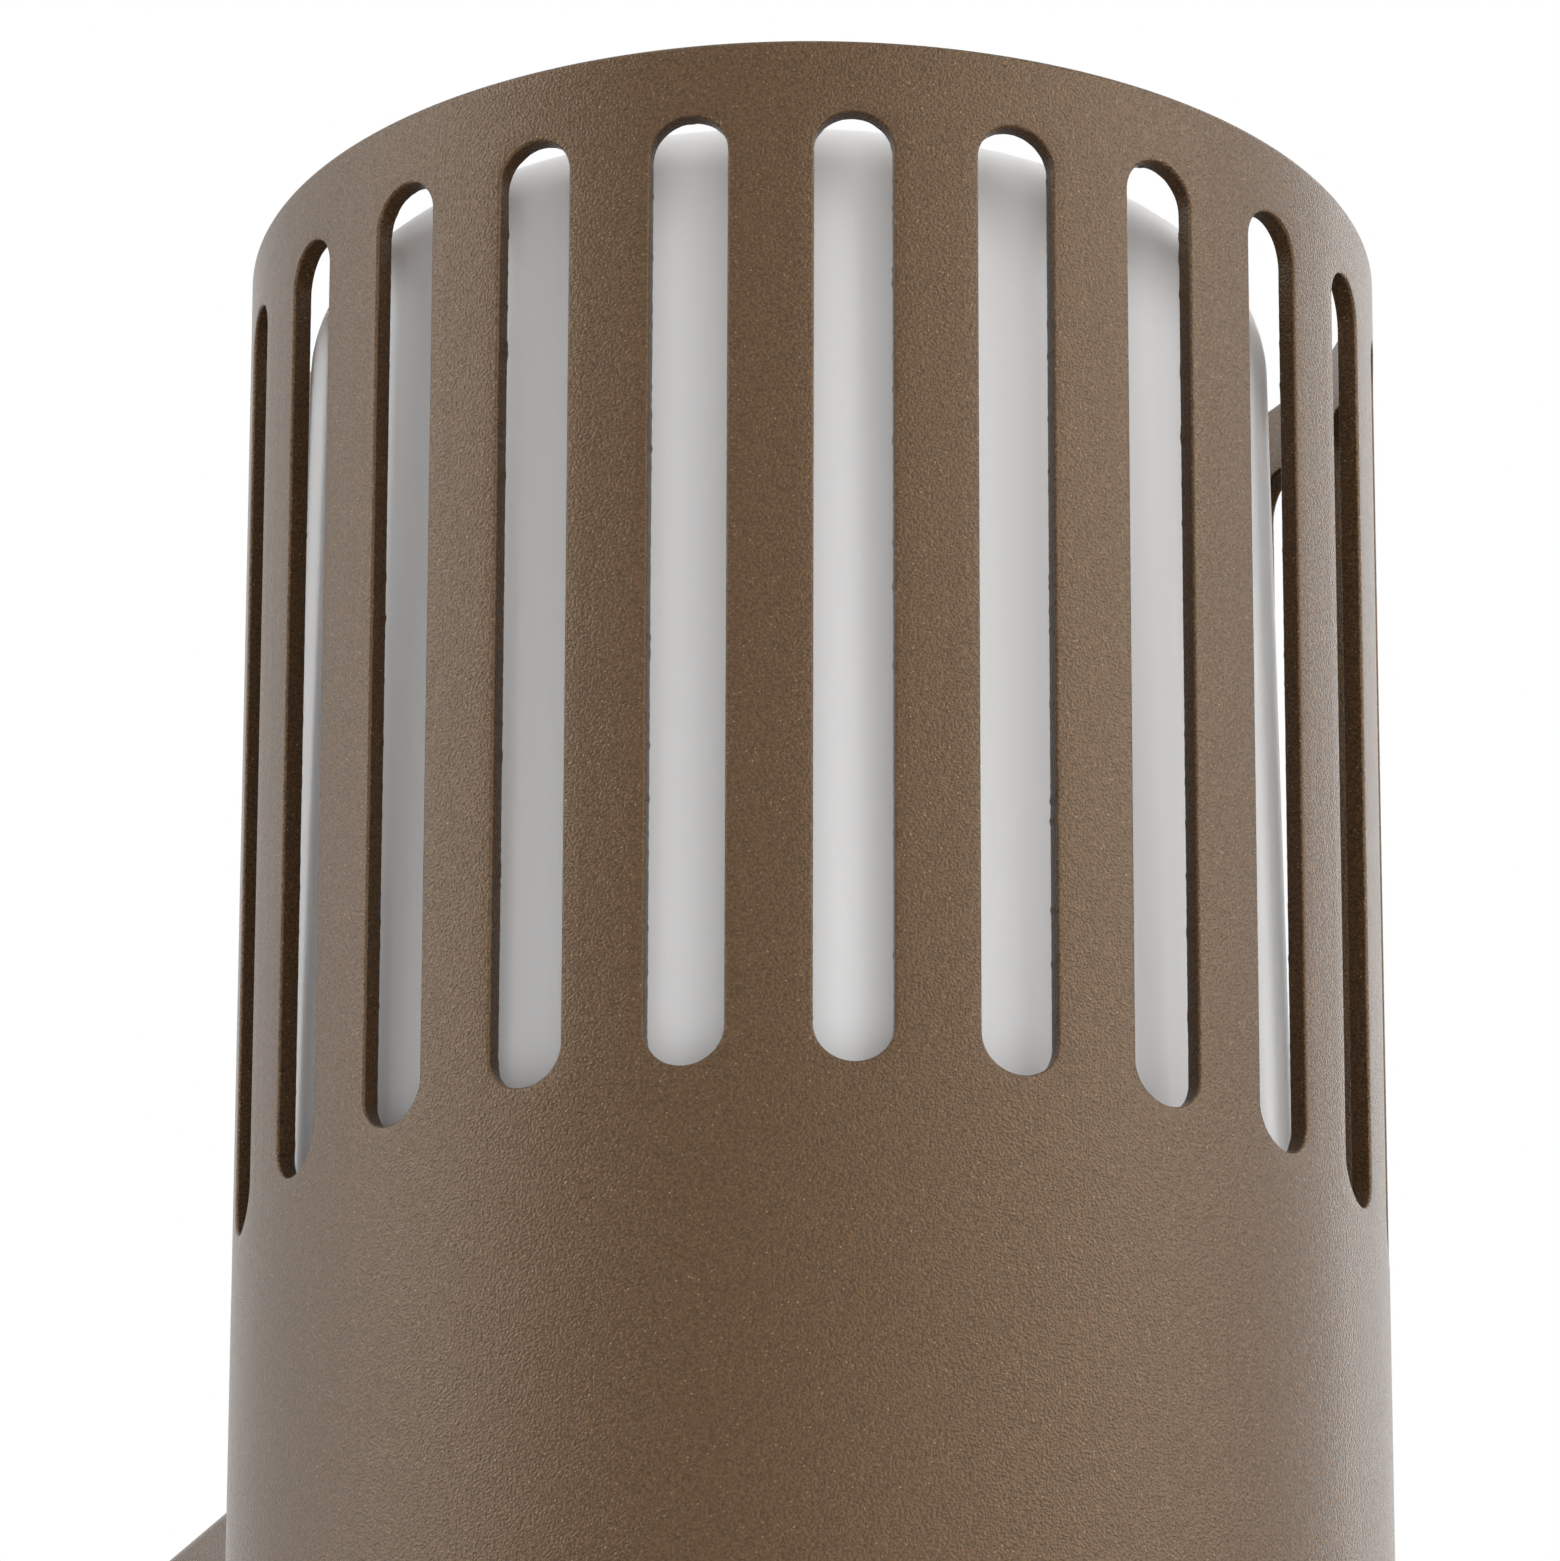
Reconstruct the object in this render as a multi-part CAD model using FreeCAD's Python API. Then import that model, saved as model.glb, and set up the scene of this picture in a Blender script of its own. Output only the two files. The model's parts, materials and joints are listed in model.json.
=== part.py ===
import FreeCAD, Part
import math
import os

# Outdoor wall light: an open slotted tube on a cast wall box, with an opal cup over its lamp.
# Millimetres, +Z up. The wall is the plane Y = 0, the light faces -Y, and the origin is the
# centre of the wall plate's back.

# Tube, open at the top, with upright slots all round its upper part
tube_diameter = 110.0
tube_wall = 2.0
tube_length = 216.0
slot_count = 22
slot_width = 7.5
slot_length = 96.5
rim_band = 7.5  # from the rim down to the slot tops
tube_to_wall = 30.0  # from the wall to the tube's back

# Wall box, cast with draft, its width and height taken at its rim
box_width = 81.0
box_height = 89.0
box_draft = 1.9  # degrees
box_wall = 3.0
box_corner = 1.5
pocket_corner = 2.0
saddle_wall = 3.5
rim_above_box = 111.5  # from the box's top up to the tube's rim
boss_stand = 2.5  # of the inner bosses' flat faces from the middle of the saddle wall

# Gaskets and general clearances
wall_gasket_thickness = 2.0
wall_gasket_inset = 0.5
saddle_gasket_thickness = 1.0
saddle_gasket_inset = 2.0
gasket_gap = 0.15
slip_gap = 0.3
thread_gap = 0.15
hole_gap = 0.3

# Opal cup, moulded with draft; its gap to the tube is taken where its side would meet its top
cup_gap = 6.3
cup_draft = 1.0  # degrees
cup_corner = 8.0
cup_wall = 2.2
cup_below_rim = 2.3
lamp_shift_x = -2.15  # the lamp stands a little off the tube's axis
lamp_shift_y = 0.75

# Lamp carrier and its seal
seat_drop = 39.0  # from the lower ends of the slots to the cup's seat
carrier_plate = 5.0
carrier_skirt_wall = 3.0
carrier_skirt_depth = 8.0
collar_height = 12.0
collar_wall = 6.0
collar_gap = 1.0
seal_section = 3.5
seal_height = 7.0  # of the seal's middle above the seat
wire_hole_radius = 13.0
drain_radius = 4.0
drain_angles = (-60.0, -120.0, 0.0, 180.0)
carrier_boss_width = 56.0
carrier_boss_margin = 2.0  # below the hole for the leads
carrier_boss_depth = 16.0

# Lampholder and bulb, E27
holder_flange_radius = 26.0
holder_flange_thickness = 4.0
holder_radius = 18.5
holder_height = 38.0
holder_floor = 11.0
holder_bore_radius = 14.9
holder_mouth_depth = 2.0
holder_well_radius = 1.6
holder_well_depth = 9.0
holder_well_reach = 9.0
holder_screw_reach = 22.0
shell_thickness = 0.5
shell_length = 20.0
contact_rise = 3.0
contact_thickness = 0.6
contact_width = 6.0
contact_span = 16.0
contact_foot = 4.0
bulb_cap_radius = 13.2
bulb_cap_length = 22.0
bulb_cap_wall = 0.6
bulb_insulator_height = 3.0
bulb_tip_radius = 4.8
bulb_tip_height = 1.0
bulb_tip_margin = 1.0
bulb_body_length = 40.0
bulb_waist = 0.42  # share of the flare reached halfway up the housing
bulb_radius = 30.0
bulb_length = 106.0
bulb_glass = 1.2

# Bottom cap and its pillars
cap_recess = 3.0
cap_thickness = 4.0
cap_chamfer = 0.8
cap_drain_radius = 4.0
cap_drain_inset = 10.0  # from the tube's bore to the middle of a drain hole
cap_drain_count = 3
standoff_count = 3
standoff_inset = 17.0  # from the tube's bore to the middle of a pillar
standoff_flats = 8.0
standoff_stud_length = 4.0

# Wall plate
plate_thickness = 2.0
plate_gap = 1.0
plate_corner = 2.0
plate_tab_depth = 14.0
plate_tab_height = 18.0
plate_tab_rise = 20.0
wall_slot_spacing = 56.0
wall_slot_length = 12.0
wall_slot_width = 5.0

# Cable inlet in the wall plate, and lead bush between box and tube
cable_rise = 25.0
cable_bore_radius = 4.5
cable_neck_radius = 8.0
cable_flange_radius = 10.5
cable_flange_thickness = 2.5
cable_nose_radius = 6.5
cable_nose_length = 4.5
lead_drop = 13.0
lead_bore_radius = 4.4
lead_neck_radius = 6.8
lead_flange_radius = 9.2
lead_flange_thickness = 2.0
lead_boss_radius = 10.3
lead_neck_overhang = 2.0

# Terminal block
pole_count = 3
pole_pitch = 10.0
pole_width = 9.0
pole_height = 18.0
pole_depth = 13.0
pole_web_depth = 6.0
pole_web_inset = 3.0
pole_rise = 4.0
pole_wire_depth = 5.0
insert_radius = 2.6
insert_bore_radius = 1.6
insert_length = 15.0
terminal_screw_reach = 4.5
terminal_screw_recess = 1.0

# Leads
lead_radius = 1.1
lead_spacing = 2.7
lead_tail = 4.0  # straight run below the terminal block
lead_run = 6.0  # straight run beyond the carrier's boss
lead_hang = 16.0  # from the carrier's plate down to the foot of the upright runs
bend_share = 0.45  # of the shorter run beside a lead's corner that its bend takes up

# Screws, each with its shank radius, head radius, head height and length
clamp_screw = (2.45, 4.25, 3.0, 22.0)
clamp_screw_reach = 20.0
clamp_screw_drop = 13.0
clamp_boss_radius = 6.5
washer_radius = 5.0
washer_thickness = 1.0
box_screw = (1.95, 3.6, 2.4, 9.0)
box_screw_depth = 9.0
box_screw_sink = 1.2
holder_screw = (1.7, 3.2, 2.0, 8.0)
cap_screw = (1.95, 3.6, 2.4, 12.0)
fixing_screw = (1.2, 2.2, 1.4, 6.5)
terminal_screw_radius = 1.8
earth_screw = (1.95, 3.6, 2.6, 6.0)

# Earth lug under the carrier, placed from the tube's axis
earth_x = 16.0
earth_y = 18.0
lug_thickness = 1.0
lug_radius = 4.6
lug_length = 7.0
lug_barrel_radius = 2.0
lug_barrel_bore = 1.3
lug_barrel_length = 9.0

# Worked-out radii, heights and places
tube_radius = tube_diameter / 2
bore_radius = tube_radius - tube_wall
axis_y = -tube_to_wall - tube_radius
lamp_x = lamp_shift_x
lamp_y = axis_y + lamp_shift_y
rim_z = box_height / 2 + rim_above_box
tube_bottom_z = rim_z - tube_length
slot_top_z = rim_z - rim_band
slot_bottom_z = slot_top_z - slot_length
seat_z = slot_bottom_z - seat_drop
plate_bottom_z = seat_z - carrier_plate
cup_top_z = rim_z - cup_below_rim
cup_top_radius = bore_radius - cup_gap
saddle_radius = tube_radius + saddle_gasket_thickness
boss_face_y = axis_y + saddle_radius + saddle_wall + boss_stand
holder_top_z = seat_z + holder_height
holder_floor_z = seat_z + holder_floor
bulb_tip_z = holder_floor_z + contact_rise + contact_thickness + slip_gap
cap_top_z = tube_bottom_z + cap_recess + cap_thickness
carrier_radius = bore_radius - slip_gap
carrier_boss_front = axis_y + carrier_radius - carrier_boss_depth
carrier_boss_low_z = -lead_drop - lead_neck_radius - hole_gap - carrier_boss_margin
Z = FreeCAD.Vector(0, 0, 1)


def point(x, y, z):
    return FreeCAD.Vector(x, y, z)


def rod(radius, start, end):
    """Round bar from one point to another."""
    along = end - start
    return Part.makeCylinder(radius, along.Length, start, along)


def pipe(outer, inner, start, end):
    """Round bar with a bore all the way through."""
    return rod(outer, start, end).cut(rod(inner, start, end))


def block(low, high):
    size = high - low
    return Part.makeBox(size.x, size.y, size.z, low)


def upright(radius, low_z, high_z, x=0.0, y=axis_y):
    return rod(radius, point(x, y, low_z), point(x, y, high_z))


def lathe(edges, x, y):
    """Closed outline in the XZ plane, turned about the upright axis through x, y."""
    face = Part.Face(Part.Wire(edges))
    solid = face.revolve(point(0, 0, 0), Z, 360)
    solid.translate(point(x, y, 0))
    return solid


def line(start, end):
    return Part.LineSegment(point(start[0], 0, start[1]), point(end[0], 0, end[1])).toShape()


def arc(start, middle, end):
    places = [point(p[0], 0, p[1]) for p in (start, middle, end)]
    return Part.Arc(*places).toShape()


def dome(radius, side, top):
    """Arc of a round cap about the axis, from its edge at height side to its top."""
    rise = top - side
    ball = (radius ** 2 + rise ** 2) / (2 * rise)
    half = math.asin(radius / ball) / 2
    middle = (ball * math.sin(half), top - ball * (1 - math.cos(half)))
    return arc((radius, side), middle, (0, top))


def outline(corners):
    """Straight edges round a list of corners, back to the first."""
    following = corners[1:] + corners[:1]
    return [line(a, b) for a, b in zip(corners, following)]


def on_circle(reach, degrees, x=0.0, y=axis_y):
    angle = math.radians(degrees)
    return x + reach * math.cos(angle), y + reach * math.sin(angle)


def rounded_rectangle(width, height, corner, y):
    """Wire of a round-cornered rectangle in the upright plane at y."""
    half_x = width / 2
    half_z = height / 2
    inset = corner * (1 - math.sqrt(0.5))
    edges = []
    for turn in range(4):
        across, up = (half_x, half_z) if turn % 2 == 0 else (half_z, half_x)
        start = point(across, y, corner - up)
        finish = point(across, y, up - corner)
        middle = point(across - inset, y, up - inset)
        end = point(across - corner, y, up)
        side = [Part.LineSegment(start, finish).toShape(), Part.Arc(finish, middle, end).toShape()]
        for edge in side:
            edge.rotate(point(0, y, 0), point(0, -1, 0), 90 * turn)
        edges += side
    return Part.Wire(Part.__sortEdges__(edges))


def screw(size, seat, direction):
    """Domed-head screw: its head stands on seat, its shank goes along direction."""
    shank, head, height, length = size
    edges = [
        line((0, -length), (shank, -length)),
        line((shank, -length), (shank, 0)),
        line((shank, 0), (head, 0)),
        line((head, 0), (head, height / 2)),
        dome(head, height / 2, height),
        line((0, height), (0, -length)),
    ]
    shape = lathe(edges, 0, 0)
    shape.Placement = FreeCAD.Placement(seat, FreeCAD.Rotation(point(0, 0, -1), direction))
    return shape


def draft_drop(depth):
    """How far a drafted face has moved in at a depth from the box's rim."""
    return depth * math.tan(math.radians(box_draft))


def box_prism(inset, corner):
    """Tapering prism of the box's outline, inset all round, from its rim to near the tube's axis."""
    rim_y = -wall_gasket_thickness
    front_y = axis_y + tube_radius / 4
    drop = draft_drop(rim_y - front_y)
    half_x = box_width / 2 - inset
    half_z = box_height / 2 - inset
    low_x = half_x - drop
    low_z = half_z - drop
    prism = Part.makeWedge(-low_x, front_y, -low_z, -half_z, -half_x, low_x, rim_y, low_z, half_z, half_x)
    long_edges = [edge for edge in prism.Edges if edge.BoundBox.YLength > (rim_y - front_y) / 2]
    return prism.makeFillet(corner, long_edges)


def clamp_places():
    return [(side * clamp_screw_reach, -clamp_screw_drop) for side in (-1, 1)]


def through_saddle(radius, x, z):
    """Cutter along Y through box front, gasket, tube wall and carrier boss."""
    return rod(radius, point(x, boss_face_y + washer_thickness, z), point(x, axis_y + tube_radius / 2, z))


def saddle_holes(gap):
    holes = [through_saddle(clamp_screw[0] + gap, x, z) for x, z in clamp_places()]
    holes.append(through_saddle(lead_neck_radius + gap, 0, -lead_drop))
    return holes


def slot_cutter():
    """Round-ended slot through the front of the tube wall."""
    half = slot_width / 2
    low = slot_bottom_z + half
    high = slot_top_z - half
    outer = axis_y - tube_radius - tube_wall
    inner = axis_y - bore_radius / 2
    middle = block(point(-half, outer, low), point(half, inner, high))
    ends = [rod(half, point(0, outer, z), point(0, inner, z)) for z in (low, high)]
    return middle.fuse(ends).removeSplitter()


def slotted_tube():
    tube = upright(tube_radius, tube_bottom_z, rim_z).cut(upright(bore_radius, tube_bottom_z, rim_z))
    cutters = []
    for index in range(slot_count):
        cutter = slot_cutter()
        cutter.rotate(point(0, axis_y, 0), Z, 360 * index / slot_count)
        cutters.append(cutter)
    return tube.cut(cutters + saddle_holes(hole_gap))


def cup_radius(z):
    """Outer radius of the cup's side at a height."""
    return cup_top_radius + (cup_top_z - z) * math.tan(math.radians(cup_draft))


def cup_bore(z):
    return cup_radius(z) - cup_wall / math.cos(math.radians(cup_draft))


def cup_profile(inset):
    """Half outline of the cup's outside, or of its inside when inset by the wall."""
    lean = math.radians(cup_draft)
    corner = cup_corner - inset
    top = cup_top_z - inset
    centre_z = cup_top_z - cup_corner
    # The corner's middle lies one corner radius in from the drafted side and from the top.
    centre_r = cup_radius(centre_z) - cup_corner / math.cos(lean)

    def on_corner(angle):
        return centre_r + corner * math.cos(angle), centre_z + corner * math.sin(angle)

    base = (cup_radius(seat_z) - inset / math.cos(lean), seat_z)
    side_end = on_corner(lean)
    top_start = on_corner(math.pi / 2)
    return [
        line((0, seat_z), base),
        line(base, side_end),
        arc(side_end, on_corner((lean + math.pi / 2) / 2), top_start),
        line(top_start, (0, top)),
        line((0, top), (0, seat_z)),
    ]


def diffuser_cup():
    outside = lathe(cup_profile(0.0), lamp_x, lamp_y)
    inside = lathe(cup_profile(cup_wall), lamp_x, lamp_y)
    return outside.cut(inside)


def seal_reach():
    """Outermost radius of the seal, just short of the cup."""
    return cup_bore(seat_z + seal_height) - slip_gap


def cup_seal():
    middle = seal_reach() - seal_section / 2
    return Part.makeTorus(middle, seal_section / 2, point(lamp_x, lamp_y, seat_z + seal_height))


def carrier_collar():
    """Ring that the cup pushes over, with a groove for the seal."""
    outer = cup_bore(seat_z + collar_height) - collar_gap
    top = seat_z + collar_height
    ring = upright(outer, seat_z, top, lamp_x, lamp_y)
    ring = ring.cut(upright(outer - collar_wall, seat_z, top, lamp_x, lamp_y))
    half = seal_section / 2 + slip_gap
    low = seat_z + seal_height - half
    high = seat_z + seal_height + half
    groove = upright(outer + collar_gap, low, high, lamp_x, lamp_y)
    bottom = seal_reach() - seal_section - slip_gap
    return ring.cut(groove.cut(upright(bottom, low, high, lamp_x, lamp_y)))


def carrier_boss():
    """Block under the plate's rear edge that takes the clamp screws and lets the leads through."""
    half = carrier_boss_width / 2
    low = point(-half, carrier_boss_front, carrier_boss_low_z)
    rough = block(low, point(half, axis_y + carrier_radius, plate_bottom_z))
    return rough.common(upright(carrier_radius, low.z, plate_bottom_z))


def standoff_places():
    reach = bore_radius - standoff_inset
    return [on_circle(reach, -90 + 360 * n / standoff_count) for n in range(standoff_count)]


def holder_screw_places():
    return [(lamp_x, lamp_y + side * holder_screw_reach) for side in (-1, 1)]


def lamp_carrier():
    skirt_low = plate_bottom_z - carrier_skirt_depth
    plate = upright(carrier_radius, skirt_low, seat_z)
    plate = plate.cut(upright(carrier_radius - carrier_skirt_wall, skirt_low, plate_bottom_z))
    body = plate.fuse([carrier_collar(), carrier_boss()])
    cutters = [upright(wire_hole_radius, plate_bottom_z, seat_z, lamp_x, lamp_y)]
    for angle in drain_angles:
        x, y = on_circle(carrier_radius, angle)
        cutters.append(upright(drain_radius, skirt_low, seat_z, x, y))
    stud_top = plate_bottom_z + standoff_stud_length
    for x, y in standoff_places():
        cutters.append(upright(cap_screw[0] + thread_gap, plate_bottom_z, stud_top, x, y))
    for x, y in holder_screw_places():
        cutters.append(upright(holder_screw[0] + thread_gap, plate_bottom_z, seat_z, x, y))
    for x, z in clamp_places():
        cutters.append(through_saddle(clamp_screw[0] + thread_gap, x, z))
    cutters.append(through_saddle(lead_neck_radius + hole_gap, 0, -lead_drop))
    cutters.append(upright(earth_screw[0] + thread_gap, plate_bottom_z, plate_bottom_z + earth_screw[3],
                           earth_x, axis_y + earth_y))
    return body.cut(cutters)


def holder_wells():
    return [(lamp_x + side * holder_well_reach, lamp_y) for side in (-1, 1)]


def lampholder_body():
    flange_top = seat_z + holder_flange_thickness
    mouth = holder_bore_radius + (holder_radius - holder_bore_radius) / 2
    edges = outline([
        (0, seat_z),
        (holder_flange_radius, seat_z),
        (holder_flange_radius, flange_top),
        (holder_radius, flange_top),
        (holder_radius, holder_top_z),
        (mouth, holder_top_z),
        (holder_bore_radius, holder_top_z - holder_mouth_depth),
        (holder_bore_radius, holder_floor_z),
        (0, holder_floor_z),
    ])
    body = lathe(edges, lamp_x, lamp_y)
    well_top = seat_z + holder_well_depth
    cutters = [upright(holder_well_radius, seat_z, well_top, x, y) for x, y in holder_wells()]
    for x, y in holder_screw_places():
        cutters.append(upright(holder_screw[0] + hole_gap, seat_z, flange_top, x, y))
    return body.cut(cutters)


def lampholder_shell():
    """Metal sleeve in the holder's bore, standing on the floor beside the contact."""
    outer = holder_bore_radius - thread_gap
    low = point(lamp_x, lamp_y, holder_floor_z)
    high = point(lamp_x, lamp_y, holder_floor_z + shell_length)
    return pipe(outer, outer - shell_thickness, low, high)


def lampholder_contact():
    """Sprung strip: two flat feet and an arch between them."""
    half = contact_span / 2
    foot = half + contact_foot
    low = holder_floor_z
    top = low + contact_rise
    skin = contact_thickness
    edges = [
        line((-foot, low), (-half, low)),
        arc((-half, low), (0, top), (half, low)),
        line((half, low), (foot, low)),
        line((foot, low), (foot, low + skin)),
        line((foot, low + skin), (half, low + skin)),
        arc((half, low + skin), (0, top + skin), (-half, low + skin)),
        line((-half, low + skin), (-foot, low + skin)),
        line((-foot, low + skin), (-foot, low)),
    ]
    strip = Part.Face(Part.Wire(edges)).extrude(point(0, contact_width, 0))
    strip.translate(point(lamp_x, lamp_y - contact_width / 2, 0))
    return strip


def lampholder_screws():
    seat = seat_z + holder_flange_thickness
    return [screw(holder_screw, point(x, y, seat), -Z) for x, y in holder_screw_places()]


def bulb_heights():
    """Heights of the bulb's contact base, cap base and cap top."""
    contact = bulb_tip_z + bulb_tip_height
    cap = contact + bulb_insulator_height
    return contact, cap, cap + bulb_cap_length


def bulb_contact():
    """Soldered tip, flat in the middle and sloping to its edge."""
    base = bulb_heights()[0]
    edges = outline([(0, bulb_tip_z), (bulb_tip_radius / 2, bulb_tip_z), (bulb_tip_radius, base), (0, base)])
    return lathe(edges, lamp_x, lamp_y)


def bulb_insulator():
    contact, cap, top = bulb_heights()
    foot = bulb_tip_radius + bulb_tip_margin
    edges = outline([(0, contact), (foot, contact), (bulb_cap_radius, cap), (0, cap)])
    return lathe(edges, lamp_x, lamp_y)


def bulb_cap():
    contact, cap, top = bulb_heights()
    low = point(lamp_x, lamp_y, cap)
    return pipe(bulb_cap_radius, bulb_cap_radius - bulb_cap_wall, low, point(lamp_x, lamp_y, top))


def globe_centre_z():
    return bulb_tip_z + bulb_length - bulb_radius


def bulb_body():
    """Housing: a spigot inside the cap, then a flaring cup up to the globe."""
    contact, cap, top = bulb_heights()
    spigot = bulb_cap_radius - bulb_cap_wall - thread_gap
    flare_z = top + bulb_body_length
    flare = globe_radius_at(flare_z)
    waist = (bulb_cap_radius + (flare - bulb_cap_radius) * bulb_waist, top + bulb_body_length / 2)
    edges = [
        line((0, cap), (spigot, cap)),
        line((spigot, cap), (spigot, top)),
        line((spigot, top), (bulb_cap_radius, top)),
        arc((bulb_cap_radius, top), waist, (flare, flare_z)),
        line((flare, flare_z), (0, flare_z)),
        line((0, flare_z), (0, cap)),
    ]
    return lathe(edges, lamp_x, lamp_y)


def globe_radius_at(z):
    return math.sqrt(bulb_radius ** 2 - (z - globe_centre_z()) ** 2)


def bulb_globe():
    """Opal globe: the upper part of a sphere, thin walled."""
    low = bulb_heights()[2] + bulb_body_length
    centre = point(lamp_x, lamp_y, globe_centre_z())
    shell = Part.makeSphere(bulb_radius, centre).cut(Part.makeSphere(bulb_radius - bulb_glass, centre))
    reach = 2 * bulb_radius
    corner = point(lamp_x + reach, lamp_y + reach, low)
    below = block(point(lamp_x - reach, lamp_y - reach, low - reach), corner)
    return shell.cut(below)


def bottom_cap():
    """Inset lid with chamfered edges, screw holes and drain holes."""
    radius = bore_radius - slip_gap
    low = tube_bottom_z + cap_recess
    inner = radius - cap_chamfer
    edges = outline([
        (0, low),
        (inner, low),
        (radius, low + cap_chamfer),
        (radius, cap_top_z - cap_chamfer),
        (inner, cap_top_z),
        (0, cap_top_z),
    ])
    cutters = [upright(cap_screw[0] + hole_gap, low, cap_top_z, x, y) for x, y in standoff_places()]
    for n in range(cap_drain_count):
        x, y = on_circle(bore_radius - cap_drain_inset, 90 + 360 * n / cap_drain_count)
        cutters.append(upright(cap_drain_radius, low, cap_top_z, x, y))
    return lathe(edges, 0, axis_y).cut(cutters)


def bottom_cap_screws():
    low = tube_bottom_z + cap_recess
    return [screw(cap_screw, point(x, y, low), Z) for x, y in standoff_places()]


def cap_standoffs():
    """Hexagon pillars, a stud at the top end and a threaded hole at the bottom end."""
    pillars = []
    across_corners = standoff_flats / math.cos(math.radians(30))
    for x, y in standoff_places():
        corners = [point(*on_circle(across_corners / 2, 60 * n, x, y), cap_top_z) for n in range(7)]
        hexagon = Part.Face(Part.makePolygon(corners))
        pillar = hexagon.extrude(Z * (plate_bottom_z - cap_top_z))
        stud_top = plate_bottom_z + standoff_stud_length - slip_gap
        pillar = pillar.fuse(upright(cap_screw[0], plate_bottom_z, stud_top, x, y))
        hole_top = tube_bottom_z + cap_recess + cap_screw[3] + slip_gap
        pillars.append(pillar.cut(upright(cap_screw[0] + thread_gap, cap_top_z, hole_top, x, y)))
    return pillars


def box_side_places():
    """Side, height and seat of each box screw, the seat sunk into the drafted side."""
    depth = box_screw_depth - wall_gasket_thickness
    seat = box_width / 2 - draft_drop(depth) - box_screw_sink
    return [(side, seat) for side in (-1, 1)]


def inner_bosses():
    """Flat-faced bosses on the box's front wall for the clamp screws and the lead bush."""
    root_y = axis_y + tube_radius
    bosses = []
    for x, z in clamp_places():
        root = point(x, root_y - clamp_boss_radius, z)
        bosses.append(rod(clamp_boss_radius, root, point(x, boss_face_y, z)))
    lead_root = point(0, root_y - tube_wall, -lead_drop)
    bosses.append(rod(lead_boss_radius, lead_root, point(0, boss_face_y, -lead_drop)))
    return bosses


def wall_box():
    low = -box_height
    high = box_height
    pocket = box_prism(box_wall, pocket_corner).cut(upright(saddle_radius + saddle_wall, low, high))
    shell = box_prism(0.0, box_corner).cut(pocket).fuse(inner_bosses())
    cutters = [upright(saddle_radius, low, high)] + saddle_holes(hole_gap)
    for side, seat in box_side_places():
        inner = point(side * (seat - 2 * box_wall), -box_screw_depth, plate_tab_rise)
        face = point(side * seat, -box_screw_depth, plate_tab_rise)
        outer = point(side * box_width, -box_screw_depth, plate_tab_rise)
        cutters.append(rod(box_screw[0] + hole_gap, inner, face))
        cutters.append(rod(box_screw[1] + hole_gap, face, outer))
    return shell.cut(cutters)


def saddle_gasket():
    """Rubber sheet bent round the tube, as large as the box's front."""
    low = -box_height
    high = box_height
    sheet = upright(saddle_radius - gasket_gap, low, high).cut(upright(tube_radius + gasket_gap, low, high))
    return sheet.common(box_prism(saddle_gasket_inset, box_corner)).cut(saddle_holes(hole_gap))


def clamp_washers():
    rings = []
    for x, z in clamp_places():
        front = point(x, boss_face_y + washer_thickness, z)
        rings.append(pipe(washer_radius, clamp_screw[0] + hole_gap, point(x, boss_face_y, z), front))
    return rings


def clamp_screws():
    seat_y = boss_face_y + washer_thickness
    return [screw(clamp_screw, point(x, seat_y, z), point(0, -1, 0)) for x, z in clamp_places()]


def lead_grommet():
    """Bush with one flange on the box's inner boss and a neck through into the tube."""
    z = -lead_drop
    face = point(0, boss_face_y, z)
    flange_end = point(0, boss_face_y + lead_flange_thickness, z)
    neck_end = point(0, axis_y + bore_radius - lead_neck_overhang, z)
    bush = rod(lead_flange_radius, face, flange_end).fuse(rod(lead_neck_radius, neck_end, face))
    return bush.cut(rod(lead_bore_radius, neck_end, flange_end))


def plate_half_width():
    return box_width / 2 - box_wall - plate_gap


def wall_plate():
    """Flat plate with a bent tab at each side, slots for the wall screws and the cable hole."""
    half_x = plate_half_width()
    half_z = box_height / 2 - box_wall - plate_gap
    front = -plate_thickness
    face = Part.Face(rounded_rectangle(2 * half_x, 2 * half_z, plate_corner, 0.0))
    plate = face.extrude(point(0, front, 0))
    tab_low = plate_tab_rise - plate_tab_height / 2
    tab_high = plate_tab_rise + plate_tab_height / 2
    tabs = []
    cutters = []
    half_slot = wall_slot_length / 2 - wall_slot_width / 2
    for side in (-1, 1):
        ends = sorted((side * half_x, side * (half_x - plate_thickness)))
        tabs.append(block(point(ends[0], -plate_tab_depth, tab_low), point(ends[1], front, tab_high)))
        hole_in = point(side * (half_x - 2 * plate_thickness), -box_screw_depth, plate_tab_rise)
        hole_out = point(side * half_x, -box_screw_depth, plate_tab_rise)
        cutters.append(rod(box_screw[0] + thread_gap, hole_in, hole_out))
        middle = side * wall_slot_spacing / 2
        for end in (-half_slot, half_slot):
            cutters.append(rod(wall_slot_width / 2, point(middle + end, front, 0), point(middle + end, 0, 0)))
        cutters.append(block(point(middle - half_slot, front, -wall_slot_width / 2),
                             point(middle + half_slot, 0, wall_slot_width / 2)))
    cutters.append(rod(cable_neck_radius + thread_gap, point(0, front, cable_rise), point(0, 0, cable_rise)))
    for x in fixing_places():
        cutters.append(rod(fixing_screw[0] + thread_gap, point(x, front, pole_rise), point(x, 0, pole_rise)))
    return plate.fuse(tabs).cut(cutters)


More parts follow.
